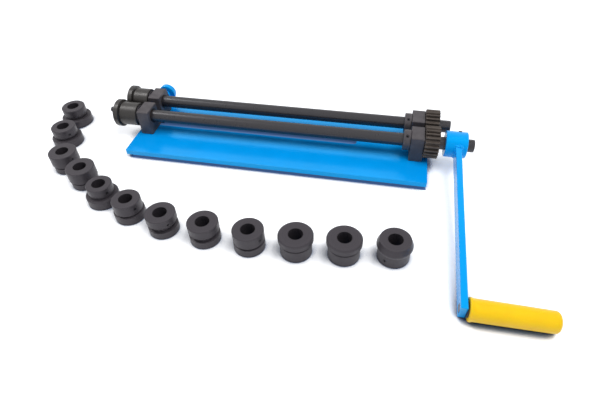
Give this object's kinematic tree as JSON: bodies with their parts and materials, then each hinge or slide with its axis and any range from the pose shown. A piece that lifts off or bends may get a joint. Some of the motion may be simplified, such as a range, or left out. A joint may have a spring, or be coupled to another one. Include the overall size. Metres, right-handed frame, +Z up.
{
  "type": "bead roller",
  "caption": "Hand cranked bead roller with a slotted flat frame, two geared roller shafts, a side adjuster and a row of loose forming dies.",
  "frame": {"origin": "middle of the machine's footprint with its loose dies, at the floor it lies on", "axes": "+X along the roller shafts from the rollers to the crank, +Y from the crank's grip towards the plate's rear edge, +Z up from the floor"},
  "size_m": [0.892, 0.4442, 0.0746],
  "materials": {
    "blue_paint": "glossy enamel over plain steel",
    "black_steel": "black oxide with an oily sheen",
    "bronze": "bored bearing bronze",
    "bearing_steel": "ground bright steel",
    "dark_fasteners": "black oxide, lightly oiled",
    "shaft_steel": "turned dark steel",
    "gear_steel": "milled dark steel",
    "tool_steel": "turned tool steel, dark oiled finish",
    "yellow_plastic": "smooth moulded sleeve"
  },
  "bodies": {
    "frame": {"frame_plate": "blue_paint", "lower_die_block": "black_steel", "lower_gear_block": "black_steel", "upper_gear_block": "black_steel", "lower_die_bush": "bronze", "lower_gear_bush": "bronze", "block_bolts": "dark_fasteners", "block_washers": "dark_fasteners", "adjuster_lug": "blue_paint", "die_set_screws": "dark_fasteners", "loose_die_01": "tool_steel", "loose_die_02": "tool_steel", "loose_die_03": "tool_steel", "loose_die_04": "tool_steel", "loose_die_05": "tool_steel", "loose_die_06": "tool_steel", "loose_die_07": "tool_steel", "loose_die_08": "tool_steel", "loose_die_09": "tool_steel", "loose_die_10": "tool_steel", "loose_die_11": "tool_steel", "loose_die_12": "tool_steel"},
    "lower_arbor": {"lower_shaft": "shaft_steel", "lower_roller": "tool_steel", "lower_spacer_ring": "dark_fasteners", "lower_end_plate": "dark_fasteners", "lower_end_screws": "dark_fasteners", "lower_collar": "black_steel", "lower_gear": "gear_steel", "lower_gear_key": "dark_fasteners", "lower_set_screws": "dark_fasteners", "crank_hub": "blue_paint", "crank_arm": "blue_paint", "grip_pin": "bearing_steel", "grip_washer": "dark_fasteners"},
    "grip": {"crank_grip": "yellow_plastic"},
    "upper_slide": {"upper_die_block": "black_steel", "upper_die_bush": "bronze", "slide_bolts": "dark_fasteners", "slide_washers": "dark_fasteners", "adjuster_keeper": "black_steel", "keeper_screws": "dark_fasteners"},
    "adjuster": {"adjuster_screw": "dark_fasteners", "adjuster_knob": "blue_paint", "knob_nut": "dark_fasteners"},
    "upper_swivel": {"swivel_bush": "bearing_steel"},
    "upper_arbor": {"upper_shaft": "shaft_steel", "upper_roller": "tool_steel", "upper_spacer_ring": "dark_fasteners", "upper_end_plate": "dark_fasteners", "upper_end_screws": "dark_fasteners", "upper_collar": "black_steel", "upper_gear": "gear_steel", "upper_gear_key": "dark_fasteners", "upper_set_screws": "dark_fasteners"}
  },
  "joints": [
    {"name": "crank_turn", "type": "hinge", "parent": "frame", "child": "lower_arbor", "pos_m": [-0.24325, 0.10554, 0.0469], "axis": [1, 0, 0], "continuous": true},
    {"name": "grip_spin", "type": "hinge", "parent": "lower_arbor", "child": "grip", "pos_m": [0.38535, -0.20594, 0.0162], "axis": [1, 0, 0], "continuous": true},
    {"name": "adjuster_travel", "type": "slide", "parent": "frame", "child": "upper_slide", "axis": [0, 1, 0], "range_m": [-0.0003, 0.002]},
    {"name": "adjuster_turn", "type": "hinge", "parent": "upper_slide", "child": "adjuster", "pos_m": [-0.24125, 0.19215, 0.0434], "axis": [0, 1, 0], "range_deg": [-62, 412.5]},
    {"name": "upper_tilt", "type": "hinge", "parent": "frame", "child": "upper_swivel", "pos_m": [0.26145, 0.15704, 0.0469], "axis": [0, 0, 1], "range_deg": [-0.24, 0.04]},
    {"name": "upper_shaft_turn", "type": "hinge", "parent": "upper_swivel", "child": "upper_arbor", "pos_m": [0.26145, 0.15704, 0.0469], "axis": [1, 0, 0], "continuous": true}
  ],
  "couplings": [
    {"joint": "upper_shaft_turn", "follows": "crank_turn", "ratio": -1},
    {"joint": "adjuster_turn", "follows": "adjuster_travel", "rad_per_m": 3590.4},
    {"joint": "upper_tilt", "follows": "adjuster_travel", "rad_per_m": -1.9814}
  ]
}
